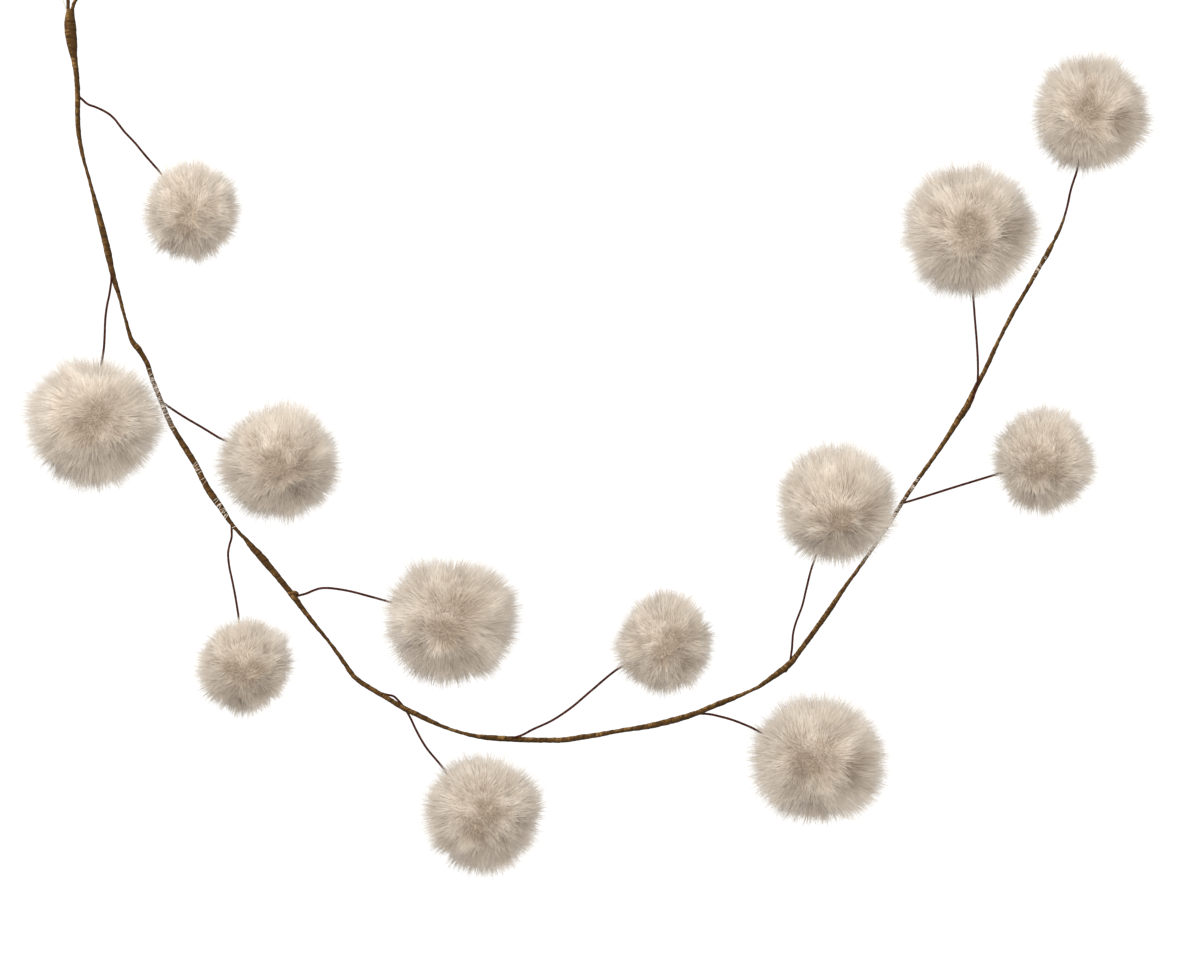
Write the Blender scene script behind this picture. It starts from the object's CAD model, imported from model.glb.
"""Pom pom garland: the finish of every piece, as a Blender add-on that is run as a script.

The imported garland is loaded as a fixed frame.  Each fur ball, the paper-wound stem with its
binding and loop, the branch wires and the loose thread are then made around it, in metres.
The garland hangs in the XZ plane, and the viewer stands on the -Y side.
"""

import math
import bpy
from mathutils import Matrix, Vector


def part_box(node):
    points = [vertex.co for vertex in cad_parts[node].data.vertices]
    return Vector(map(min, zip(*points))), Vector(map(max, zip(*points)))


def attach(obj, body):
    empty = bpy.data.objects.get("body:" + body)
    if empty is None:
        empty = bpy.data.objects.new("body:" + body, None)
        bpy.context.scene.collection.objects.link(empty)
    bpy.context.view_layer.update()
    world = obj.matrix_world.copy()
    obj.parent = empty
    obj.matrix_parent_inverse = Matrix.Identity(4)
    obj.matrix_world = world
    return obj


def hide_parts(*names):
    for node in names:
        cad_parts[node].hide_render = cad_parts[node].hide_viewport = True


bl_info = {
    "name": "Pom pom garland",
    "version": (1, 0, 0),
    "blender": (4, 5, 0),
    "location": "3D View > Sidebar > Garland",
    "description": "Makes the fur balls, the wound stem, the wires and the stage of a garland",
    "category": "Add Mesh",
}

from functools import partial

import bpy
import numpy as np
from bpy.props import FloatProperty, FloatVectorProperty, IntProperty, PointerProperty
from mathutils import Vector

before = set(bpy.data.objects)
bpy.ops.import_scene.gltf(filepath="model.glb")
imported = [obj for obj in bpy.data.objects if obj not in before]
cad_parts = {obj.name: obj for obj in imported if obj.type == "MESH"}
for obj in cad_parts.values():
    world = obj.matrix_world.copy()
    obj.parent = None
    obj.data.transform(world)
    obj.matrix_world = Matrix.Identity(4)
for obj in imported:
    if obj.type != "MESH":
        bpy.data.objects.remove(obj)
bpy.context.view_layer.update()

MM = 0.001
BODY = "root"

# The kinds of node that are used most.
MATH = "ShaderNodeMath"
VECTOR = "ShaderNodeVectorMath"
SPLIT = "ShaderNodeSeparateXYZ"
COMBINE = "ShaderNodeCombineXYZ"
MIX = "ShaderNodeMix"
NOISE = "ShaderNodeTexNoise"
RANDOM = "FunctionNodeRandomValue"
READ = "GeometryNodeInputNamedAttribute"
STORE = "GeometryNodeStoreNamedAttribute"

BALLS = sorted(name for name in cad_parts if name.startswith("pom_pom_"))
WIRES = sorted(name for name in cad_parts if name.startswith("branch_wire_"))

# Corners round each CAD tube, which tell its rings apart, and how near to each other corners
# are one, or lie in one plane.
STEM_CORNERS = 10
WIRE_CORNERS = 6
LOOP_CORNERS = 8
BINDING_CORNERS = 12
ONE_PLACE = 0.001 * MM
ONE_PLANE = 0.005 * MM

# Ways to the top of a tube and to the loop's left foot.
UP = (0.0, 0.0, 1.0)
LEFT_FOOT = (-0.1, 0.0, -1.0)

# How far a wire may run on inside the stem, and the loop's feet and the thread in the binding.
ROOT_RUN = 9.0 * MM
FOOT_RUN = 5.0 * MM
# How far a wire runs on inside its ball, as a share of the way to the ball's middle.
INTO_BALL = 0.3
# Rings of the last wire that the stem's tape runs on over, and how much thicker it makes the
# first and the last of them.
TIP_RINGS = 4
TIP_SWELL = (2.0, 1.1)

# Loose tails of tape: where on the stem, which way each stands out, its length and half width.
TAPE_TAILS = [
    # x      z       along   up    length  width
    (197.1, -561.5,  1.0,   0.05,  7.0,    2.8),
    (645.0, -622.5, -0.3,  -1.0,   6.0,    2.2),
]
# How a tail narrows: share of its length, share of its width.  And the share of the stem's
# ring spacing and lumps that it has.
TAIL_SHAPE = ((0.0, 1.0), (0.5, 0.9), (0.8, 0.6), (1.0, 0.15))
TAIL_FINENESS = 0.5

# Where pale fibres shed by the fur cling round the stem: the middle of the place, how far
# along the stem they lie, and how many there are.
SHED_FIBRES = [
    # x      z      run   count
    (75.0,  -380.0, 64.0, 34),
    (134.0, -482.0, 30.0, 16),
    (115.0, -448.0, 30.0, 10),
    (871.0, -267.0, 26.0, 12),
    (752.0, -460.0, 22.0, 16),
]
FIBRE_SPREAD = 0.25         # how widely they lie, as a share of their run
FIBRE_LIFT = (0.2, 0.6)     # how far each stands off the stem, in mm
FIBRE_REACH = 1.7           # how far round the stem it reaches either way, in radians
FIBRE_SLANT = 0.7           # how far it slants along the stem, in mm for each radian
FIBRE_THICK = (0.10, 0.22)  # its half thickness in mm
FIBRE_RINGS = 7

# Lights: name, place in metres, width in metres, power in watts.
LIGHTS = [
    ("key_light", (-0.9, -1.6, 1.3), 1.2, 46.0),
    ("fill_light", (1.8, -2.2, -0.2), 1.6, 21.0),
]
WORLD_STRENGTH = 1.12
FLOOR_HALF = 2.0
LENS = 135.0


def linear(code):
    """Linear RGB of an sRGB hex colour, and a full alpha."""
    shares = [int(code[place:place + 2], 16) / 255 for place in (1, 3, 5)]
    return *(s / 12.92 if s <= 0.04045 else ((s + 0.055) / 1.055) ** 2.4 for s in shares), 1.0


def feed(node, inputs):
    """Give a node its inputs.  One that is given as a node or a socket is linked."""
    for key, value in inputs.items():
        if isinstance(key, int):
            socket = node.inputs[key]
        else:
            socket = next(s for s in node.inputs if s.enabled and key in (s.name, s.identifier))
        if isinstance(value, bpy.types.Node):
            value = next(s for s in value.outputs if s.enabled)
        if isinstance(value, bpy.types.NodeSocket):
            node.id_data.links.new(value, socket)
        else:
            socket.default_value = value


def add_node(tree, kind, inputs=None, **settings):
    """Add a node to a tree with its settings and its inputs."""
    node = tree.nodes.new(kind)
    for name, value in settings.items():
        setattr(node, name, value)
    feed(node, inputs or {})
    return node


def new_tree(name, sizes):
    """A Geometry Nodes tree, its inputs by name, and what adds its nodes.  Its sizes are rows
    of name, kind and default.
    """
    tree = bpy.data.node_groups.new(name, "GeometryNodeTree")
    tree.interface.new_socket("Geometry", in_out="INPUT", socket_type="NodeSocketGeometry")
    for label, kind, default in sizes:
        socket = tree.interface.new_socket(label, in_out="INPUT", socket_type="NodeSocket" + kind)
        if default is not None:
            socket.default_value = default
    tree.interface.new_socket("Geometry", in_out="OUTPUT", socket_type="NodeSocketGeometry")
    start = tree.nodes.new("NodeGroupInput")
    return tree, {socket.name: socket for socket in start.outputs}, partial(add_node, tree)


def placed(name, data):
    """A new object in the scene."""
    thing = bpy.data.objects.new(name, data)
    bpy.context.scene.collection.objects.link(thing)
    return thing


def made_by(tree, source, values, name):
    """Run a tree with some of its inputs set on a source object, and keep the result as a mesh."""
    modifier = source.modifiers.new(tree.name, "NODES")
    modifier.node_group = tree
    for item in tree.interface.items_tree:
        if item.in_out == "INPUT" and item.name in values:
            modifier[item.identifier] = values[item.name]
    bpy.context.view_layer.update()
    graph = bpy.context.evaluated_depsgraph_get()
    mesh = bpy.data.meshes.new_from_object(source.evaluated_get(graph), depsgraph=graph)
    mesh.name = name
    bpy.data.objects.remove(source, do_unlink=True)
    return placed(name, mesh)


def new_material(name):
    """A node material, what adds its nodes, and its Principled shader."""
    material = bpy.data.materials.new(name)
    material.use_nodes = True
    tree = material.node_tree
    return material, partial(add_node, tree), tree.nodes["Principled BSDF"]


def stops(ramp, *rows):
    """Set a colour ramp's stops, each given as its place and its colour."""
    elements = ramp.color_ramp.elements
    for number, (place, colour) in enumerate(rows):
        if number == len(elements):
            elements.new(place)
        elements[number].position = place
        elements[number].color = colour


# ---- fur balls

FUR_SIZES = [
    ("Centre", "Vector", None),
    ("Reach", "Float", 0.06),
    ("Root Share", "Float", 0.62),
    ("Strands", "Int", 18000),
    ("Strand Width", "Float", 0.001),
    ("Oval", "Vector", None),
    ("Three Corners", "Vector", None),
    ("Four Corners", "Vector", None),
    ("Lobes", "Float", 0.14),
    ("Lock Domes", "Float", 1.0),
    ("Ragged Ends", "Float", 0.24),
    ("Lock Size", "Float", 0.012),
    ("Lock Pull", "Float", 0.10),
    ("Tuft Size", "Float", 0.004),
    ("Tuft Pull", "Float", 0.07),
    ("Swirl", "Float", 0.45),
    ("Combed", "Vector", None),
    ("Parting One", "Vector", None),
    ("Parting Two", "Vector", None),
    ("Parting Width", "Float", 0.45),
    ("Parting Spread", "Float", 0.6),
    ("Parting Depth", "Float", 0.07),
    ("Parting Shade", "Float", 0.66),
    ("Wisp Share", "Float", 0.12),
    ("Wisp Reach", "Float", 0.10),
    ("Seed", "Int", 0),
    ("Fur", "Material", None),
    ("Backing", "Material", None),
]

# The form of each ball, in order from the loop, in shares of its reach.  "Combed" is how far
# its pile leans across and up.  The next three say how far its outline is from round, and the
# degrees counter-clockwise from the right at which that shape points.  The pile parts at two
# spots on its front, given across and up.
BALL_FORMS = [
    # combed         oval          three corners four corners  parting one     parting two
    ((0.02, 0.02),   (0.030, 70),  (0.005, 20),  (0.010, 20),  (0.00, -0.15),  (-0.10, -0.45)),
    ((-0.04, -0.04), (0.025, -15), (0.020, 15),  (0.010, -5),  (0.15, 0.20),   (0.00, -0.15)),
    ((-0.03, 0.04),  (0.030, 20),  (0.030, -50), (0.010, -10), (0.00, -0.10),  (0.55, -0.05)),
    ((0.00, 0.03),   (0.050, 45),  (0.010, 30),  (0.015, 15),  (-0.27, -0.05), (0.27, -0.15)),
    ((0.06, 0.02),   (0.035, 10),  (0.025, 20),  (0.030, 40),  (0.25, 0.18),   (-0.05, -0.20)),
    ((-0.04, 0.00),  (0.005, 5),   (0.025, 25),  (0.030, 15),  (0.10, 0.15),   (-0.20, -0.30)),
    ((-0.03, 0.03),  (0.035, 70),  (0.030, -40), (0.025, 5),   (0.25, 0.13),   (-0.07, -0.25)),
    ((0.05, 0.00),   (0.040, -10), (0.015, -40), (0.005, 35),  (-0.30, -0.05), (0.63, -0.05)),
    ((0.00, 0.16),   (0.015, 45),  (0.005, -5),  (0.010, 40),  (0.10, -0.40),  (0.60, -0.20)),
    ((0.06, 0.08),   (0.025, -75), (0.010, -15), (0.035, -10), (0.25, -0.32),  (-0.30, -0.25)),
    ((0.00, 0.03),   (0.005, 70),  (0.020, 10),  (0.010, -20), (0.00, 0.03),   (0.75, 0.00)),
    ((0.05, 0.00),   (0.010, -75), (0.035, -10), (0.015, -30), (-0.15, 0.03),  (0.50, -0.25)),
]
CORNER_SHAPES = {"Oval": 2, "Three Corners": 3, "Four Corners": 4}

GOLDEN_TURN = math.pi * (3.0 - math.sqrt(5.0))
STRAND_SIDES = 3
STRAND_TRIANGLES = STRAND_SIDES + 1
SEED_SHIFT = (7.3, -3.1)    # moves each ball's pattern to its own place, with its seed
ROOT_SHAKE = 0.02           # how far a root is off its even place, as a share of the reach
STRAY = 0.07                # how far a tip strays, as a share of the reach
SWIRL_SCALE = 1.7           # a higher value makes the pile's swirls smaller
LOBE_SCALE = 2.6            # a higher value makes the lobes smaller
SLOPE_STEP = 0.02           # how far apart the heights lie that give a lobe's slope
DOME_FALL = -1.2            # how much shorter the strands at a lock's edge are
WISP_THINNING = -0.6        # how much thinner a wisp is
BALL_SHADING = 0.90         # share of a strand's shading that is the whole ball's
BACKING_SWELL = 1.06        # how far the backing ball stands out over the roots

# The ball's colour map has the pile's tone across and its height up, each face a little
# spread, and the backing in a strip on the right.
PILE_MAP_SIZE = (0.87, 0.95, 0.0)
MAP_SPREAD = 0.03
BACKING_MAP_SIZE = (0.035, 0.48, 0.0)
BACKING_MAP_PLACE = (0.96, 0.5, 0.0)

# What makes up a strand's tone, from 0, the darkest, to 1: a base, the shares of its lock, its
# tuft and itself, what a parting adds to its own share, and how much the lobes and each of its
# sides count.
BASE_TONE = 0.26
LOCK_TONE = 0.30
TUFT_TONE = 0.20
OWN_TONE = 0.18
PARTED_TONE = 0.36
LOBE_TONE = 1.3
SIDE_TONE = 0.14


def fur_tree():
    """Fur pile: pointed strands that stand out of a backing ball and draw together into locks."""
    tree, size, add = new_tree("Fur pile", FUR_SIZES)
    seed = size["Seed"]

    # Roots spread evenly over a unit ball by the golden angle, then shaken a little.
    index = add("GeometryNodeInputIndex")
    share = add(MATH, {0: add(MATH, {0: index, 1: 0.5}), 1: size["Strands"]}, operation="DIVIDE")
    height = add(MATH, {0: share, 1: -2.0, 2: 1.0}, operation="MULTIPLY_ADD")
    turn = add(MATH, {0: index, 1: GOLDEN_TURN}, operation="MULTIPLY")
    squared = add(MATH, {0: height, 1: height, 2: -1.0}, operation="MULTIPLY_ADD")
    flat = add(MATH, {0: add(MATH, {0: squared}, operation="ABSOLUTE")}, operation="SQRT")
    cosine = add(MATH, {0: turn}, operation="COSINE")
    sine = add(MATH, {0: turn}, operation="SINE")
    across = add(MATH, {0: flat, 1: cosine}, operation="MULTIPLY")
    inward = add(MATH, {0: flat, 1: sine}, operation="MULTIPLY")
    even = add(COMBINE, {"X": across, "Y": inward, "Z": height})
    shake = add(RANDOM, {"Min": (-ROOT_SHAKE,) * 3, "Max": (ROOT_SHAKE,) * 3, "Seed": seed},
                data_type="FLOAT_VECTOR")
    shaken = add(VECTOR, {0: even, 1: shake})
    roots = add("GeometryNodePoints", {"Count": size["Strands"]})
    way = add(VECTOR, {0: shaken}, operation="NORMALIZE")
    roots = add(STORE, {"Geometry": roots, "Name": "way", "Value": way}, data_type="FLOAT_VECTOR")
    way = add(READ, {"Name": "way"}, data_type="FLOAT_VECTOR")

    # Each strand leans to the middle of its lock, and then to the middle of its tuft.
    shift = add(COMBINE, {"X": seed, "Y": SEED_SHIFT[0], "Z": SEED_SHIFT[1]})
    place = add(VECTOR, {0: way, 1: shift})
    tip = way
    tones = []
    sides = []
    for step, pull in (("Lock Size", "Lock Pull"), ("Tuft Size", "Tuft Pull")):
        scale = add(MATH, {0: size["Reach"], 1: size[step]}, operation="DIVIDE")
        cell = add("ShaderNodeTexVoronoi", {"Vector": place, "Scale": scale})
        middle = add(VECTOR, {0: cell.outputs["Position"], 1: shift}, operation="SUBTRACT")
        middle = add(VECTOR, {0: middle}, operation="NORMALIZE")
        tip = add(MIX, {"Factor_Float": size[pull], "A_Vector": tip, "B_Vector": middle},
                  data_type="VECTOR")
        sides.append(add(VECTOR, {0: way, 1: middle}, operation="SUBTRACT"))
        tones.append(add(SPLIT, {0: cell.outputs["Color"]}).outputs[0])
    swirl = add(NOISE, {"Vector": place, "Scale": SWIRL_SCALE, "Detail": 1.0})
    swirl = add(VECTOR, {0: swirl.outputs["Color"], 1: (0.5,) * 3}, operation="SUBTRACT")
    swirl = add(VECTOR, {0: swirl, "Scale": size["Swirl"]}, operation="SCALE")
    stray = add(RANDOM, {"Min": (-STRAY,) * 3, "Max": (STRAY,) * 3, "Seed": 11},
                data_type="FLOAT_VECTOR")

    # At a parting the pile leans away from one spot, where it is shorter and duller.
    leans = []
    nears = []
    for label in ("Parting One", "Parting Two"):
        away = add(VECTOR, {0: way, 1: size[label]}, operation="SUBTRACT")
        apart = add(VECTOR, {0: away}, operation="LENGTH").outputs["Value"]
        near = add("ShaderNodeMapRange",
                   {"Value": apart, "From Max": size["Parting Width"], "To Min": 1.0,
                    "To Max": 0.0}, interpolation_type="SMOOTHSTEP")
        much = add(MATH, {0: near, 1: size["Parting Spread"]}, operation="MULTIPLY")
        nears.append(near)
        leans.append(add(VECTOR, {0: away, "Scale": much}, operation="SCALE"))
    parted = add(MATH, {0: nears[0], 1: nears[1]}, operation="MAXIMUM")
    for push in (swirl, stray, size["Combed"], *leans):
        tip = add(VECTOR, {0: tip, 1: push})
    tip = add(VECTOR, {0: tip}, operation="NORMALIZE")

    # How far out each tip reaches: the ball's own outline, lobes, domed locks, ragged ends and
    # a few long wisps.
    part = add(SPLIT, {0: way})
    around = add(MATH, {0: part.outputs["Z"], 1: part.outputs["X"]}, operation="ARCTAN2")
    edge = add(MATH, {0: part.outputs["Y"], 1: part.outputs["Y"]}, operation="MULTIPLY")
    edge = add(MATH, {0: 1.0, 1: edge}, operation="SUBTRACT")
    reach = 1.0
    for label, corners in CORNER_SHAPES.items():
        angle = add(MATH, {0: around, 1: corners}, operation="MULTIPLY")
        wave = add(COMBINE, {"X": add(MATH, {0: angle}, operation="COSINE"),
                             "Y": add(MATH, {0: angle}, operation="SINE")})
        wave = add(VECTOR, {0: wave, 1: size[label]}, operation="DOT_PRODUCT").outputs["Value"]
        reach = add(MATH, {0: wave, 1: edge, 2: reach}, operation="MULTIPLY_ADD")
    heights = []
    for step in ((0, 0, 0), (1, 0, 0), (0, 1, 0), (0, 0, 1)):
        spot = add(VECTOR, {0: place, 1: Vector(step) * SLOPE_STEP})
        height = add(NOISE, {"Vector": spot, "Scale": LOBE_SCALE, "Detail": 1.0})
        heights.append(add(MATH, {0: height, 1: size["Lobes"]}, operation="MULTIPLY"))
    lobe = add(MATH, {0: size["Lobes"], 1: -0.5, 2: heights[0]}, operation="MULTIPLY_ADD")
    reach = add(MATH, {0: reach, 1: lobe})
    off = add(VECTOR, {0: sides[0], 1: sides[0]}, operation="DOT_PRODUCT").outputs["Value"]
    reach = add(MATH, {0: off, 1: DOME_FALL, 2: reach}, operation="MULTIPLY_ADD")
    dip = add(MATH, {0: parted, 1: size["Parting Depth"]}, operation="MULTIPLY")
    reach = add(MATH, {0: reach, 1: dip}, operation="SUBTRACT")
    ragged = add(RANDOM, {"Seed": 3})
    ragged = add(MATH, {0: ragged}, operation="SQRT")
    ragged = add(MATH, {0: ragged, 1: size["Ragged Ends"]}, operation="MULTIPLY")
    beyond = add(RANDOM, {"Seed": 6})
    beyond = add(MATH, {0: beyond, 1: size["Wisp Reach"]}, operation="MULTIPLY")
    wisp = add(RANDOM, {"Probability": size["Wisp Share"], "Seed": 5}, data_type="BOOLEAN")
    ragged = add(MATH, {0: ragged, 1: -1.0}, operation="MULTIPLY")
    ends = add(MIX, {"Factor_Float": wisp, "A_Float": ragged, "B_Float": beyond})
    reach = add(MATH, {0: reach, 1: ends})
    reach = add(MATH, {0: reach, 1: size["Reach"]}, operation="MULTIPLY")

    # "lean" is how the slopes of its lobe and its lock turn a strand's shading.
    slopes = [add(MATH, {0: heights[0], 1: other}, operation="SUBTRACT") for other in heights[1:]]
    slope = add(COMBINE, dict(enumerate(slopes)))
    slope = add(VECTOR, {0: slope, "Scale": 1.0 / SLOPE_STEP}, operation="SCALE")
    dome = add(VECTOR, {0: sides[0], "Scale": size["Lock Domes"]}, operation="SCALE")
    lean = add(VECTOR, {0: slope, 1: dome})
    roots = add(STORE, {"Geometry": roots, "Name": "lean", "Value": lean},
                data_type="FLOAT_VECTOR")
    tip = add(VECTOR, {0: tip, "Scale": reach}, operation="SCALE")

    low = add(MATH, {0: size["Root Share"], 1: size["Reach"]}, operation="MULTIPLY")
    root = add(VECTOR, {0: way, "Scale": low}, operation="SCALE")
    run = add(VECTOR, {0: tip, 1: root}, operation="SUBTRACT")
    roots = add("GeometryNodeSetPosition",
                {"Geometry": roots, "Position": add(VECTOR, {0: root, 1: size["Centre"]})})

    # One strand: a long point with three sides.  "along" runs from its root to its tip.
    cone = add("GeometryNodeMeshCone", {"Vertices": STRAND_SIDES, "Side Segments": 1,
                                        "Radius Bottom": 1.0, "Depth": 1.0}).outputs["Mesh"]
    here = add("GeometryNodeInputPosition")
    rise = add(SPLIT, {0: here}).outputs["Z"]
    strand = add(STORE, {"Geometry": cone, "Name": "along", "Value": rise})
    thin = add(MATH, {0: wisp, 1: WISP_THINNING, 2: 1.0}, operation="MULTIPLY_ADD")
    width = add(MATH, {0: size["Strand Width"], 1: thin}, operation="MULTIPLY")
    length = add(VECTOR, {0: run}, operation="LENGTH").outputs["Value"]
    roll = add(RANDOM, {"Max": math.tau, "Seed": 8})
    roll = add("FunctionNodeAxisAngleToRotation", {"Axis": UP, "Angle": roll})
    aim = add("FunctionNodeAlignRotationToVector", {"Rotation": roll, "Vector": run}, axis="Z")
    scale = add(COMBINE, {"X": width, "Y": width, "Z": length})
    pile = add("GeometryNodeInstanceOnPoints",
               {"Points": roots, "Instance": strand, "Rotation": aim, "Scale": scale})

    # "tone" is how light a strand is, less in the hollows between lobes and at a parting.
    own = add(RANDOM, {"Min": -0.5, "Max": 0.5, "Seed": 9})
    vary = add(MATH, {0: parted, 1: PARTED_TONE, 2: OWN_TONE}, operation="MULTIPLY_ADD")
    hollow = add(MATH, {0: lobe, 1: size["Lobes"]}, operation="DIVIDE")
    tone = BASE_TONE
    weights = [*zip(tones, (LOCK_TONE, TUFT_TONE)), (own, vary), (hollow, LOBE_TONE)]
    for part, weight in weights:
        tone = add(MATH, {0: part, 1: weight, 2: tone}, operation="MULTIPLY_ADD")
    dull = add(MATH, {0: parted, 1: size["Parting Shade"]}, operation="MULTIPLY")
    tone = add(MATH, {0: tone, 1: dull}, operation="SUBTRACT")
    pile = add(STORE, {"Geometry": pile, "Name": "tone", "Value": tone}, domain="INSTANCE")
    pile = add("GeometryNodeRealizeInstances", {"Geometry": pile})

    # Each side of a strand has its own tone too, so that one strand looks like several fibres.
    kept = add(READ, {"Name": "tone"})
    side = add(RANDOM, {"Seed": 10})
    tone = add(MIX, {"Factor_Float": SIDE_TONE, "A_Float": kept, "B_Float": side})
    pile = add(STORE, {"Geometry": pile, "Name": "tone", "Value": tone}, domain="FACE")

    # Its place on the ball's colour map.
    along = add(READ, {"Name": "along"})
    tone = add("ShaderNodeClamp", {"Value": kept})
    spread = add(RANDOM, {"Max": (MAP_SPREAD,) * 3, "Seed": 12}, data_type="FLOAT_VECTOR")
    flat_place = add(COMBINE, {"X": tone, "Y": along})
    flat_place = add(
        VECTOR, {0: flat_place, 1: PILE_MAP_SIZE, 2: spread}, operation="MULTIPLY_ADD")
    pile = add(STORE, {"Geometry": pile, "Name": "OFBake", "Value": flat_place},
               data_type="FLOAT2", domain="CORNER")
    pile = add("GeometryNodeSetMaterial", {"Geometry": pile, "Material": size["Fur"]})

    # The backing ball that the strands stand in.
    ball = add("GeometryNodeMeshIcoSphere", {"Radius": 1.0, "Subdivisions": 3})
    part = add(SPLIT, {0: here})
    flat_place = add(COMBINE, {"X": part.outputs["X"], "Y": part.outputs["Z"]})
    flat_place = add(VECTOR, {0: flat_place, 1: BACKING_MAP_SIZE, 2: BACKING_MAP_PLACE},
                     operation="MULTIPLY_ADD")
    ball = add(STORE, {"Geometry": ball.outputs["Mesh"], "Name": "OFBake", "Value": flat_place},
               data_type="FLOAT2", domain="CORNER")
    swell = add(MATH, {0: low, 1: BACKING_SWELL}, operation="MULTIPLY")
    at = add(VECTOR, {0: here, "Scale": swell}, operation="SCALE")
    ball = add("GeometryNodeSetPosition",
               {"Geometry": ball, "Position": add(VECTOR, {0: at, 1: size["Centre"]})})
    ball = add("GeometryNodeSetMaterial", {"Geometry": ball, "Material": size["Backing"]})

    both = add("GeometryNodeJoinGeometry", {0: pile})
    feed(both, {0: ball})

    # Strands are shaded partly by the ball that they make up, which keeps the pile soft.
    out = add(VECTOR, {0: here, 1: size["Centre"]}, operation="SUBTRACT")
    out = add(VECTOR, {0: out}, operation="NORMALIZE")
    lean = add(READ, {"Name": "lean"}, data_type="FLOAT_VECTOR")
    out = add(VECTOR, {0: out, 1: lean})
    blend = add(MIX, {"Factor_Float": BALL_SHADING, "B_Vector": out,
                      "A_Vector": add("GeometryNodeInputNormal")}, data_type="VECTOR")
    soft = add("GeometryNodeSetMeshNormal", {"Mesh": both, "Custom Normal": blend}, mode="FREE",
               domain="CORNER")
    add("NodeGroupOutput", {0: soft})
    return tree


def fur_material(look):
    """Faux fur: fine acrylic pile, dull and soft, paler at its tips and duller at its roots."""
    material, add, shader = new_material("faux_fur_pile")
    along = add("ShaderNodeAttribute", attribute_name="along").outputs["Fac"]
    tone = add("ShaderNodeAttribute", attribute_name="tone").outputs["Fac"]
    depth = add("ShaderNodeMapRange", {"Value": along, "From Min": 0.26, "From Max": 0.88},
                interpolation_type="SMOOTHSTEP")
    dark = add(MIX, {"Factor_Float": tone, "A_Color": look.root_dark, "B_Color": look.root_light},
               data_type="RGBA")
    light = add(MIX, {"Factor_Float": tone, "A_Color": look.tip_dark, "B_Color": look.tip_light},
                data_type="RGBA")
    colour = add(MIX, {"Factor_Float": depth.outputs[0], "A_Color": dark, "B_Color": light},
                 data_type="RGBA")
    feed(shader,
         {"Base Color": colour, "Roughness": 0.85, "Specular IOR Level": 0.15, "Sheen Weight": 0.6,
          "Sheen Roughness": 0.5, "Sheen Tint": (1.0, 0.95, 0.88, 1.0)})
    return material


def backing_material(look):
    """Knitted backing of the fur, seen only as the dim ground between its strands."""
    material, add, shader = new_material("fur_backing")
    where = add("ShaderNodeTexCoord").outputs["Object"]
    mottle = add(NOISE, {"Vector": where, "Scale": 400.0})
    colour = add(MIX, {"Factor_Float": mottle, "A_Color": look.root_dark,
                       "B_Color": look.root_light}, data_type="RGBA")
    feed(shader, {"Base Color": colour, "Roughness": 0.95})
    return material


# ---- wound tubes

WINDING_SHAKE = 1.2             # how unevenly the tape is wound, in turns
CREPE_HEIGHT = 0.6 * MM         # height of the drawn ridges, which stand for finer ones
CREPE_SHARE = 0.50              # shares of the ridges, of the slow changes and of the stains
SLOW_SHARE = 0.25               # in the paper's shade
STAIN_SHARE = 0.25
LAP_LINE = 0.16                 # width of the dark line at a lap, as a share of a turn
LAP_SHADE = 0.62                # and how dark it is, with 1 for none
FADED_SIDE = (-0.62, -0.30, 0.72)
LEAST_SINE = 0.1                # a wire that lies flatter along the stem counts as this steep

TUBE_SIZES = [
    ("Ring Spacing", "Float", 0.001),
    ("Sides", "Int", 16),
    ("Tape Pitch", "Float", 0.010),
    ("Tape Step", "Float", 0.0003),
    ("Hand Lumps", "Float", 0.0004),
    ("Finish", "Material", None),
]

# Wire and thread have no tape.
PLAIN_TUBE = {"Sides": 8, "Tape Step": 0.0, "Hand Lumps": 0.2 * MM}


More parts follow.
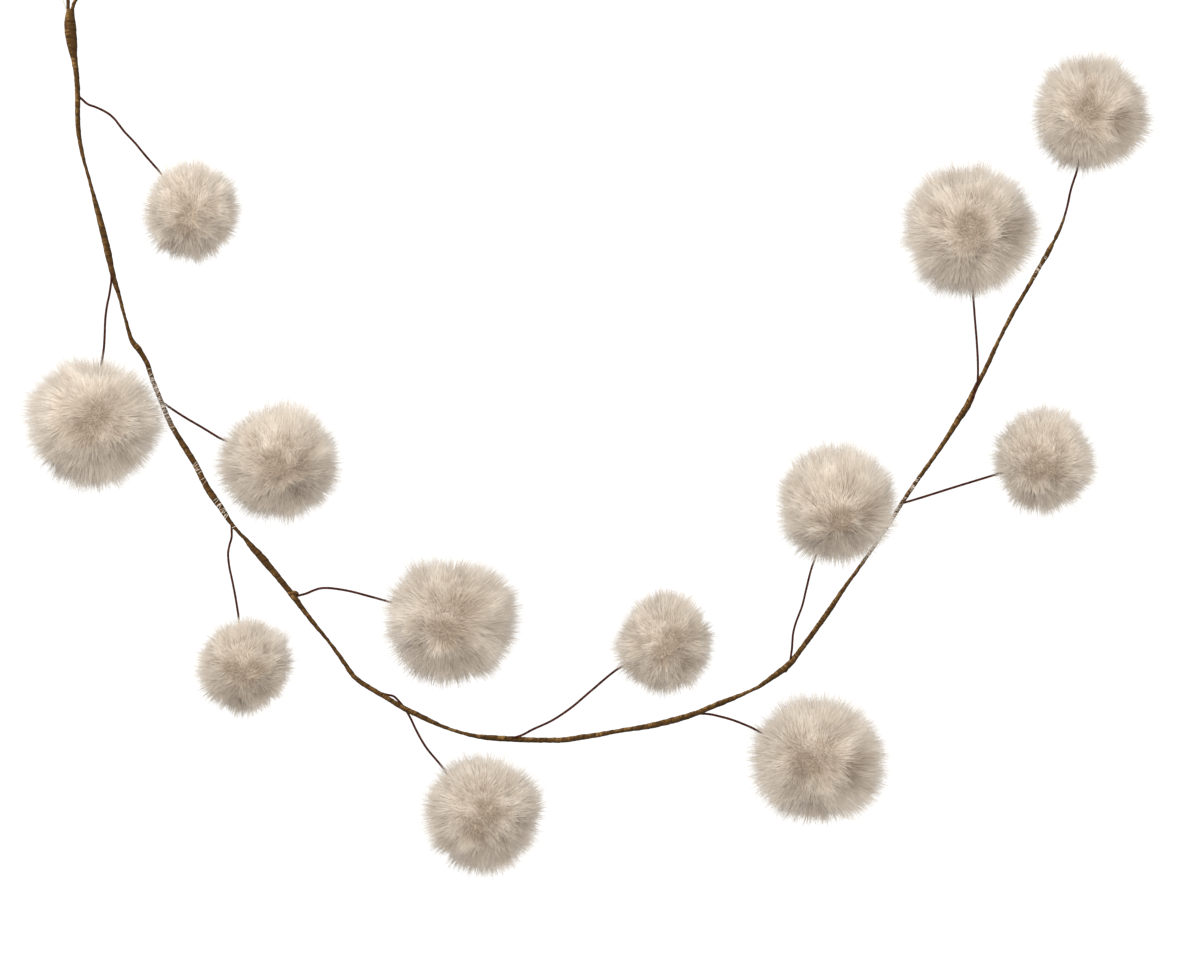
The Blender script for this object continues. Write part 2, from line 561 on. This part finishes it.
def tube_tree():
    """A tube along a route, wound with tape whose overlapping edges stand up in a helix."""
    tree, size, add = new_tree("Wound tube", TUBE_SIZES)
    route = add("GeometryNodeCurveSplineType", {"Curve": size["Geometry"]},
                spline_type="CATMULL_ROM")
    route = add("GeometryNodeSetSplineResolution", {"Geometry": route, "Resolution": 24})
    route = add("GeometryNodeResampleCurve", {"Curve": route, "Length": size["Ring Spacing"]},
                mode="LENGTH")
    passed = add("GeometryNodeSplineParameter").outputs["Length"]
    route = add(STORE, {"Geometry": route, "Name": "run", "Value": passed})
    ring = add("GeometryNodeCurvePrimitiveCircle", {"Resolution": size["Sides"], "Radius": 1.0})
    share = add("GeometryNodeSplineParameter").outputs["Factor"]
    ring = add(STORE, {"Geometry": ring.outputs["Curve"], "Name": "turn", "Value": share})
    radius = add("GeometryNodeInputRadius")
    tube = add("GeometryNodeCurveToMesh",
               {"Curve": route, "Profile Curve": ring, "Scale": radius, "Fill Caps": True})
    run = add(READ, {"Name": "run"})
    turn = add(READ, {"Name": "turn"})
    where = add("GeometryNodeInputPosition")

    # "lap" counts the turns of tape along the tube, shaken because it is wound by hand.
    shake = add(NOISE, {"Vector": where, "Scale": 55.0, "Detail": 1.0})
    lap = add(MATH, {0: run, 1: size["Tape Pitch"]}, operation="DIVIDE")
    lap = add(MATH, {0: shake, 1: WINDING_SHAKE, 2: lap}, operation="MULTIPLY_ADD")
    tube = add(STORE, {"Geometry": tube, "Name": "lap", "Value": lap})

    # "straight" is the place on the tube in millimetres, as if it lay along a straight rod.
    angle = add(MATH, {0: turn, 1: math.tau}, operation="MULTIPLY")
    cosine = add(MATH, {0: angle}, operation="COSINE")
    sine = add(MATH, {0: angle}, operation="SINE")
    passed = add(MATH, {0: run, 1: MM}, operation="DIVIDE")
    straight = add(COMBINE, {"X": cosine, "Y": sine, "Z": passed})
    tube = add(STORE, {"Geometry": tube, "Name": "straight", "Value": straight},
               data_type="FLOAT_VECTOR")

    # The tape's edge stands proud, and its height falls in a saw tooth once a turn.
    tooth = add(MATH, {0: lap, 1: turn})
    tooth = add(MATH, {0: tooth}, operation="FRACT")
    tooth = add(MATH, {0: tooth, 1: -0.5})
    step = add(MATH, {0: tooth, 1: size["Tape Step"]}, operation="MULTIPLY")
    lumps = add(NOISE, {"Vector": where, "Scale": 150.0, "Detail": 2.0})
    lumps = add(MATH, {0: lumps, 1: -0.5})
    lumps = add(MATH, {0: lumps, 1: size["Hand Lumps"], 2: step}, operation="MULTIPLY_ADD")
    push = add(VECTOR, {0: add("GeometryNodeInputNormal"), "Scale": lumps}, operation="SCALE")
    tube = add("GeometryNodeSetPosition", {"Geometry": tube, "Offset": push})
    tube = add("GeometryNodeRealizeInstances", {"Geometry": tube})
    tube = add("GeometryNodeSetShadeSmooth", {"Geometry": tube, "Shade Smooth": True})
    tube = add("GeometryNodeSetMaterial", {"Geometry": tube, "Material": size["Finish"]})
    add("NodeGroupOutput", {0: tube})
    return tree


def corner_places(node):
    """Every corner of a CAD node, as an array."""
    return np.array([corner.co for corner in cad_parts[node].data.vertices])


def tube_rings(node, corners, end):
    """Centres and radii of a CAD tube's rings, from the end nearest a point to the other end."""
    keys, merged = np.unique(
        np.round(corner_places(node) / ONE_PLACE).astype(np.int64), axis=0, return_inverse=True)
    merged = merged.ravel()
    spots = keys * ONE_PLACE
    faces = [[int(merged[corner]) for corner in face.vertices]
             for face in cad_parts[node].data.polygons]
    beside = [set() for _ in spots]
    for names in faces:
        for one in names:
            beside[one].update(names)

    # The tube's end is flat: of the planes at its nearest corner, it is the most compact one.
    first = int(np.argmin(np.linalg.norm(spots - np.array(end), axis=1)))
    apart = np.linalg.norm(spots - spots[first], axis=1)
    ends = []
    for one, two, three in (names for names in faces if first in names):
        across = np.cross(spots[two] - spots[one], spots[three] - spots[one])
        off = (spots - spots[first]) @ (across / np.linalg.norm(across))
        level = np.flatnonzero(np.abs(off) < ONE_PLANE)
        level = level[np.argsort(apart[level])][:corners]
        if len(level) == corners:
            ends.append((apart[level[-1]], level))
    ring = {int(one) for one in min(ends, key=lambda row: row[0])[1]}

    seen = set()
    rings = []
    while ring:
        around = spots[sorted(ring)]
        middle = around.mean(axis=0)
        rings.append((Vector(middle), float(np.linalg.norm(around - middle, axis=1).mean())))
        seen |= ring
        ring = set().union(*(beside[one] for one in ring)) - seen
    return rings


def corner_along(node, way):
    """The corner of a CAD node that is furthest along a direction."""
    places = corner_places(node)
    return places[np.argmax(places @ np.array(way))]


def corner_near(node, point):
    """The corner of a CAD node that is nearest a point."""
    places = corner_places(node)
    return places[np.argmin(np.linalg.norm(places - np.array(point), axis=1))]


def run_on(rings, length):
    """The rings with one more, straight on past the last one."""
    (before, _), (last, radius) = rings[-2:]
    return rings + [(last + (last - before).normalized() * length, radius)]


def new_route(name, rows):
    """A curve object with one spline through each row of rings, with their radii."""
    curve = bpy.data.curves.new(name, "CURVE")
    curve.dimensions = "3D"
    for rings in rows:
        spline = curve.splines.new("POLY")
        spline.points.add(len(rings) - 1)
        for point, (middle, radius) in zip(spline.points, rings):
            point.co = (*middle, 1.0)
            point.radius = radius
    return placed(name, curve)


def stem_rings():
    """The rings of the stem and its end binding, from the loop to the far end."""
    binding = tube_rings("end_binding", BINDING_CORNERS, corner_along("end_binding", UP))
    stem = tube_rings("stem", STEM_CORNERS, corner_along("stem", UP))
    return binding[:-1] + stem[1:]


def wire_rings(node, ball, stem):
    """A branch wire's rings, from inside its ball to inside the stem."""
    centre = ball_measures(ball)[0]
    rings = tube_rings(node, WIRE_CORNERS, corner_near(node, centre))
    rings.insert(0, (rings[0][0].lerp(centre, INTO_BALL), rings[0][1]))
    last, radius = rings[-1]
    way = (last - rings[-2][0]).normalized()
    spots = [middle for middle, _ in stem]
    near = min(range(1, len(spots) - 1), key=lambda index: (spots[index] - last).length)
    along = (spots[near + 1] - spots[near - 1]).normalized()
    foot = spots[near] + along * (last - spots[near]).dot(along)
    cosine = along.dot(way)
    run = (last - foot).length * cosine / max(math.sqrt(1.0 - cosine * cosine), LEAST_SINE)
    run = min(max(run, -ROOT_RUN), ROOT_RUN)
    return rings + [(foot + along * run, radius)]


def paper_material(look):
    """Crepe paper tape: matt, finely ridged across, with a faint darker line at each lap."""
    material, add, shader = new_material("crepe_paper_tape")
    straight = add("ShaderNodeAttribute", attribute_name="straight").outputs["Vector"]
    lap = add("ShaderNodeAttribute", attribute_name="lap")
    side = add(SPLIT, {0: straight})
    turn = add(MATH, {0: side.outputs["Y"], 1: side.outputs["X"]}, operation="ARCTAN2")
    winds = add(MATH, {0: turn, 1: 1.0 / math.tau, 2: lap.outputs["Fac"]},
                operation="MULTIPLY_ADD")
    within = add(MATH, {0: winds}, operation="FRACT")
    line = add("ShaderNodeMapRange", {"Value": within, "From Max": LAP_LINE, "To Min": LAP_SHADE},
               interpolation_type="SMOOTHSTEP")

    # How far along the tape itself: it carries the slow changes of shade.
    whole = add(MATH, {0: winds}, operation="FLOOR")
    ribbon = add(MATH, {0: turn, 1: -1.0 / math.tau, 2: whole}, operation="MULTIPLY_ADD")
    slow = add(NOISE, {"W": ribbon, "Scale": 0.8, "Detail": 1.0}, noise_dimensions="1D")

    # Crepe ridges are 0.5 mm apart: drawn at about 1 mm, so that they show.
    stretch = add("ShaderNodeMapping", {"Vector": straight, "Scale": (0.35, 0.35, 0.8)})
    crepe = add(NOISE, {"Vector": stretch, "Scale": 1.0, "Detail": 3.0})
    smear = add("ShaderNodeMapping", {"Vector": straight, "Scale": (1.2, 1.2, 0.08)})
    stain = add(NOISE, {"Vector": smear, "Scale": 1.0, "Detail": 2.0})
    mix = add(MATH, {0: crepe, 1: CREPE_SHARE}, operation="MULTIPLY")
    mix = add(MATH, {0: slow, 1: SLOW_SHARE, 2: mix}, operation="MULTIPLY_ADD")
    mix = add(MATH, {0: stain, 1: STAIN_SHARE, 2: mix}, operation="MULTIPLY_ADD")
    mix = add(MATH, {0: mix, 1: line}, operation="MULTIPLY")

    # The side that is turned up and to the left has faded in the light of a room.
    normal = add("ShaderNodeNewGeometry").outputs["Normal"]
    turned = add(VECTOR, {0: normal, 1: FADED_SIDE}, operation="DOT_PRODUCT").outputs["Value"]
    faded = add("ShaderNodeMapRange", {
        "Value": turned, "From Min": -0.9, "From Max": 0.9, "To Min": 0.54, "To Max": 1.28})
    mix = add(MATH, {0: mix, 1: faded}, operation="MULTIPLY")
    ramp = add("ShaderNodeValToRGB", {"Fac": mix})
    stops(ramp, (0.28, look.paper_dark), (0.56, look.paper_light), (0.68, look.paper_ridge))
    bump = add("ShaderNodeBump", {"Height": crepe, "Strength": 0.9, "Distance": CREPE_HEIGHT})
    feed(shader,
         {"Base Color": ramp, "Roughness": 0.85, "Specular IOR Level": 0.1, "Normal": bump})
    return material


def lacquer_material(look):
    """Lacquered steel wire: a thin dark red-brown coat with a soft gleam, a little uneven."""
    material, add, shader = new_material("lacquered_steel_wire")
    straight = add("ShaderNodeAttribute", attribute_name="straight")
    uneven = add(NOISE, {"Vector": straight.outputs["Vector"], "Scale": 0.3, "Detail": 2.0})
    ramp = add("ShaderNodeValToRGB", {"Fac": uneven})
    stops(ramp, (0.35, look.wire_dark), (0.65, look.wire_light))
    feed(shader, {"Base Color": ramp, "Roughness": 0.5, "Specular IOR Level": 0.05})
    return material


def thread_material(look):
    """Cotton thread: pale, matt and finely twisted."""
    material, add, shader = new_material("cotton_thread")
    straight = add("ShaderNodeAttribute", attribute_name="straight")
    twist = add("ShaderNodeTexWave", {"Vector": straight.outputs["Vector"], "Scale": 1.2},
                bands_direction="DIAGONAL")
    colour = add(MIX, {"Factor_Float": twist.outputs["Fac"], "A_Color": look.thread_dark,
                       "B_Color": look.thread_light}, data_type="RGBA")
    feed(shader, {"Base Color": colour, "Roughness": 0.8})
    return material


def shed_material(look):
    """Loose acrylic fibres that the fur has shed: pale, thin and dull."""
    material, add, shader = new_material("shed_acrylic_fibre")
    straight = add("ShaderNodeAttribute", attribute_name="straight")
    uneven = add(NOISE, {"Vector": straight.outputs["Vector"], "Scale": 0.6})
    colour = add(MIX, {"Factor_Float": uneven, "A_Color": look.root_light,
                       "B_Color": look.tip_light}, data_type="RGBA")
    feed(shader, {"Base Color": colour, "Roughness": 0.8})
    return material


# ---- settings

def colour_setting(name, description, code):
    """A colour setting that starts at an sRGB hex colour."""
    return FloatVectorProperty(name=name, description=description, default=linear(code),
                               subtype="COLOR", size=4, min=0.0, max=1.0)


def length_setting(name, description, millimetres):
    """A length setting that starts at a number of millimetres."""
    return FloatProperty(name=name, description=description, default=millimetres * MM, min=0.0,
                         unit="LENGTH", precision=5)


class FurSettings(bpy.types.PropertyGroup):
    """Sizes and colours of the fur balls."""
    strand_width: length_setting("Strand width", "Half width of a strand at its root", 0.56)
    lock_size: length_setting("Lock size", "Distance between neighbouring locks", 20.0)
    tuft_size: length_setting("Tuft size", "Distance between neighbouring tufts", 4.5)
    root_share: FloatProperty(name="Root share", description="Backing ball's share of the reach",
                              default=0.58, min=0.2, max=0.9)
    ball_share: FloatProperty(
        name="Ball share", description="Dense fur's share of the solid's half height",
        default=1.09, min=0.5, max=1.3)
    triangles: IntProperty(name="Triangles", description="Triangles in all the fur together",
                           default=908000, min=10000)
    root_dark: colour_setting("Root, dark", "Darkest colour down in the pile", "#8c7b6a")
    root_light: colour_setting("Root, light", "Lightest colour down in the pile", "#cbbba9")
    tip_dark: colour_setting("Tip, dark", "Darkest colour at the tips", "#b9a997")
    tip_light: colour_setting("Tip, light", "Lightest colour at the tips", "#efe5d7")


class StemSettings(bpy.types.PropertyGroup):
    """Sizes and colours of the stem, its binding, the loop, the wires and the thread."""
    ring_spacing: length_setting("Ring spacing", "Distance between the rings of the stem", 0.9)
    tape_pitch: length_setting("Tape pitch", "How far the tape moves along in one turn", 9.0)
    tape_step: length_setting("Tape step", "Height of the tape's lapped edge", 0.28)
    hand_lumps: length_setting("Hand lumps", "Unevenness of the hand winding", 0.9)
    wire_share: FloatProperty(name="Wire share", description="Wire's share of its solid's width",
                              default=1.2, min=0.5, max=2.0)
    paper_dark: colour_setting("Paper, dark", "Darkest colour of the paper tape", "#241809")
    paper_light: colour_setting("Paper, light", "Light colour of the paper tape", "#4a3216")
    paper_ridge: colour_setting("Paper, ridges", "Palest colour, on worn ridges", "#7a5c34")
    wire_dark: colour_setting("Wire, dark", "Darkest colour of the lacquer", "#260b05")
    wire_light: colour_setting("Wire, light", "Lightest colour of the lacquer", "#441f10")
    thread_dark: colour_setting("Thread, dark", "Darkest colour of the thread", "#8d8a78")
    thread_light: colour_setting("Thread, light", "Lightest colour of the thread", "#c9c6b6")


class StageSettings(bpy.types.PropertyGroup):
    """Sizes and colours of the floor, the lights and the camera."""
    view_width: length_setting("View width", "Width of the view at the garland", 1080.0)
    view_x: length_setting("View middle, along", "Middle of the view along the wall", 475.0)
    view_z: FloatProperty(name="View middle, up", description="Height of the middle of the view",
                          default=-0.457, unit="LENGTH")
    floor_drop: length_setting("Floor drop", "Height of the loop above the floor", 1500.0)
    floor_colour: colour_setting("Floor", "Colour of the floor", "#f4f2ef")


# ---- operators

def ball_measures(node):
    """Centre and dense radius of a fur ball, from its CAD solid."""
    low, high = (Vector(corner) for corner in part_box(node))
    reach = sum(high - low) / 6.0
    return (low + high) / 2.0, reach


def facing(across, up):
    """The way from a ball's middle to a spot on its front."""
    return Vector((across, -math.sqrt(1.0 - across * across - up * up), up))


def form_values(form):
    """The fur tree's inputs for a ball's form, from its row of the table."""
    combed, *outline, first, second = form
    values = {"Combed": Vector((combed[0], 0.0, combed[1])), "Parting One": facing(*first),
              "Parting Two": facing(*second)}
    for (label, corners), (share, degrees) in zip(CORNER_SHAPES.items(), outline):
        turn = math.radians(degrees) * corners
        values[label] = Vector((share * math.cos(turn), share * math.sin(turn), 0.0))
    return values


def shed_fibre(stem, spot, chance):
    """One fibre lying over the front of the stem, as a row of rings."""
    one, two = sorted(
        stem, key=lambda ring: (ring[0].x - spot.x) ** 2 + (ring[0].z - spot.z) ** 2)[:2]
    along = (two[0] - one[0]).normalized()
    share = (spot - one[0]).dot(along) / (two[0] - one[0]).length
    middle = one[0].lerp(two[0], share)
    lift = one[1] + (two[1] - one[1]) * share + chance.uniform(*FIBRE_LIFT) * MM
    front = Vector((0.0, -1.0, 0.0))
    aside = along.cross(front).normalized()
    start = chance.uniform(-FIBRE_REACH, 0.0)
    end = chance.uniform(0.0, FIBRE_REACH)
    slant = chance.normal(0.0, FIBRE_SLANT) * MM
    thick = chance.uniform(*FIBRE_THICK) * MM
    rings = []
    for angle in np.linspace(start, end, FIBRE_RINGS):
        out = front * math.cos(angle) + aside * math.sin(angle)
        rings.append((middle + along * slant * angle + out * lift, thick))
    return rings


class GARLAND_OT_fur_balls(bpy.types.Operator):
    """Make the fur balls."""
    bl_idname = "garland.fur_balls"
    bl_label = "Fur balls"

    def execute(self, context):
        look = context.scene.garland_fur
        tree = fur_tree()
        fur = fur_material(look)
        backing = backing_material(look)
        whole = sum(ball_measures(node)[1] ** 2 for node in BALLS)
        for number, (node, form) in enumerate(zip(BALLS, BALL_FORMS), start=1):
            centre, reach = ball_measures(node)
            strands = int(look.triangles * (reach ** 2 / whole) / STRAND_TRIANGLES)
            values = {"Centre": centre, "Reach": reach * look.ball_share, "Strands": strands,
                      "Root Share": look.root_share, "Strand Width": look.strand_width,
                      "Lock Size": look.lock_size, "Tuft Size": look.tuft_size, "Seed": number,
                      "Fur": fur, "Backing": backing, **form_values(form)}
            source = placed(node, bpy.data.meshes.new(node))
            piece = made_by(tree, source, values, f"fur_ball_{number:02d}")
            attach(piece, BODY)
            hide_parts(node)
            piece.visible_shadow = False
        return {"FINISHED"}


class GARLAND_OT_stem(bpy.types.Operator):
    """Make the paper-wound stem with its end binding, and the hanging loop."""
    bl_idname = "garland.stem"
    bl_label = "Wound stem"

    def execute(self, context):
        look = context.scene.garland_stem
        tree = tube_tree()
        paper = paper_material(look)
        stem = stem_rings()
        far = wire_rings(WIRES[-1], BALLS[-1], stem)
        swells = np.linspace(*TIP_SWELL, TIP_RINGS)
        tip = [(middle, radius * swell)
               for (middle, radius), swell in zip(reversed(far[-TIP_RINGS - 1:-1]), swells)]
        loop = tube_rings("hanging_loop", LOOP_CORNERS, corner_along("hanging_loop", LEFT_FOOT))
        loop = run_on(run_on(loop, FOOT_RUN)[::-1], FOOT_RUN)
        values = {"Ring Spacing": look.ring_spacing, "Sides": 16, "Tape Pitch": look.tape_pitch,
                  "Tape Step": look.tape_step, "Hand Lumps": look.hand_lumps, "Finish": paper}
        for name, rings, nodes in (("wound_stem", stem + tip, ("stem", "end_binding")),
                                   ("hanging_loop", loop, ("hanging_loop",))):
            piece = made_by(tree, new_route(name, [rings]), values, name)
            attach(piece, BODY)
            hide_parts(*nodes)

        spots = [middle for middle, _ in stem]
        tails = []
        for x, z, aside, up, length, width in TAPE_TAILS:
            place = min(spots, key=lambda spot: math.hypot(spot.x - x * MM, spot.z - z * MM))
            way = Vector((aside, 0.0, up)).normalized()
            tails.append([(place + way * length * MM * share, width * MM * thick)
                          for share, thick in TAIL_SHAPE])
        values["Ring Spacing"] *= TAIL_FINENESS
        values["Hand Lumps"] *= TAIL_FINENESS
        values["Sides"] = 12
        piece = made_by(tree, new_route("tape_tails", tails), values, "tape_tails")
        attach(piece, BODY)
        return {"FINISHED"}


class GARLAND_OT_shed_fibres(bpy.types.Operator):
    """Lay the fibres that the fur has shed round the stem."""
    bl_idname = "garland.shed_fibres"
    bl_label = "Shed fibres"

    def execute(self, context):
        look = context.scene.garland_fur
        chance = np.random.default_rng(4)
        stem = stem_rings()
        fibres = []
        for x, z, run, count in SHED_FIBRES:
            place = Vector((x * MM, 0.0, z * MM))
            near = min(range(2, len(stem) - 2), key=lambda index: math.hypot(
                stem[index][0].x - place.x, stem[index][0].z - place.z))
            along = (stem[near + 2][0] - stem[near - 2][0]).normalized()
            for _ in range(count):
                spot = place + along * run * MM * chance.normal(0.0, FIBRE_SPREAD)
                fibres.append(shed_fibre(stem, spot, chance))
        values = {"Ring Spacing": 0.9 * MM, "Sides": 4, "Tape Step": 0.0, "Hand Lumps": 0.0,
                  "Finish": shed_material(look)}
        piece = made_by(tube_tree(), new_route("shed_fibres", fibres), values, "shed_fibres")
        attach(piece, BODY)
        return {"FINISHED"}


class GARLAND_OT_wires(bpy.types.Operator):
    """Make the branch wires and the loose thread."""
    bl_idname = "garland.wires"
    bl_label = "Branch wires"

    def execute(self, context):
        look = context.scene.garland_stem
        tree = tube_tree()
        lacquer = lacquer_material(look)
        stem = stem_rings()
        for node, ball in zip(WIRES, BALLS):
            rings = [(middle, radius * look.wire_share)
                     for middle, radius in wire_rings(node, ball, stem)]
            values = {**PLAIN_TUBE, "Ring Spacing": 2.0 * MM, "Finish": lacquer}
            piece = made_by(tree, new_route(node, [rings]), values, f"wire_{node[-2:]}")
            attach(piece, BODY)
            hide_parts(node)
        strand = tube_rings("loose_strand", WIRE_CORNERS, corner_along("loose_strand", UP))
        values = {**PLAIN_TUBE, "Ring Spacing": 0.8 * MM, "Finish": thread_material(look)}
        route = new_route("loose_strand", [run_on(strand, FOOT_RUN)])
        piece = made_by(tree, route, values, "loose_thread")
        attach(piece, BODY)
        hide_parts("loose_strand")
        return {"FINISHED"}


class GARLAND_OT_stage(bpy.types.Operator):
    """Make the floor, the lights and the camera."""
    bl_idname = "garland.stage"
    bl_label = "Stage"

    def execute(self, context):
        look = context.scene.garland_stage
        scene = context.scene
        data = bpy.data.meshes.new("floor")
        middle = Vector((look.view_x, 0.0, -look.floor_drop))
        corners = [middle + Vector((x, y, 0.0)) * FLOOR_HALF
                   for x, y in ((-1, -1), (1, -1), (1, 1), (-1, 1))]
        data.from_pydata(corners, [], [(0, 1, 2, 3)])
        floor = placed("floor", data)
        material, _, shader = new_material("pale_floor")
        feed(shader, {"Base Color": look.floor_colour, "Roughness": 0.9})
        data.materials.append(material)

        aim = Vector((look.view_x, 0.0, look.view_z))
        for name, place, size, power in LIGHTS:
            lamp = bpy.data.lights.new(name, "AREA")
            lamp.size = size
            lamp.energy = power
            light = placed(name, lamp)
            light.location = place
            light.rotation_euler = (aim - light.location).to_track_quat("-Z", "Y").to_euler()

        world = bpy.data.worlds.new("studio")
        world.use_nodes = True
        feed(world.node_tree.nodes["Background"],
             {"Color": (1.0, 1.0, 1.0, 1.0), "Strength": WORLD_STRENGTH})
        scene.world = world
        scene.view_settings.view_transform = "Standard"

        lens = bpy.data.cameras.new("camera")
        lens.lens = LENS
        camera = placed("camera", lens)
        distance = look.view_width * LENS / lens.sensor_width
        camera.location = aim + Vector((0.0, -distance, 0.0))
        camera.rotation_euler = (math.radians(90.0), 0.0, 0.0)
        scene.camera = camera
        return {"FINISHED"}


class GARLAND_PT_panel(bpy.types.Panel):
    """The garland's pieces."""
    bl_idname = "GARLAND_PT_panel"
    bl_label = "Pom pom garland"
    bl_space_type = "VIEW_3D"
    bl_region_type = "UI"
    bl_category = "Garland"

    def draw(self, context):
        for step in STEPS:
            self.layout.operator(step.bl_idname)
        for group, kind in SETTINGS.items():
            box = self.layout.box()
            for name in kind.__annotations__:
                box.prop(getattr(context.scene, group), name)


STEPS = (GARLAND_OT_stage, GARLAND_OT_stem, GARLAND_OT_wires, GARLAND_OT_shed_fibres,
         GARLAND_OT_fur_balls)
SETTINGS = {"garland_fur": FurSettings, "garland_stem": StemSettings,
            "garland_stage": StageSettings}


def register():
    """Register the classes and put the settings on the scene."""
    for kind in (*SETTINGS.values(), *STEPS, GARLAND_PT_panel):
        bpy.utils.register_class(kind)
    for name, kind in SETTINGS.items():
        setattr(bpy.types.Scene, name, PointerProperty(type=kind))


def unregister():
    """Take the settings and the classes away again."""
    for name in SETTINGS:
        delattr(bpy.types.Scene, name)
    for kind in (GARLAND_PT_panel, *reversed(STEPS), *reversed(SETTINGS.values())):
        bpy.utils.unregister_class(kind)


def main():
    """Make every piece in order."""
    register()
    for step in STEPS:
        group, name = step.bl_idname.split(".")
        getattr(getattr(bpy.ops, group), name)()


if __name__ == "__main__":
    main()
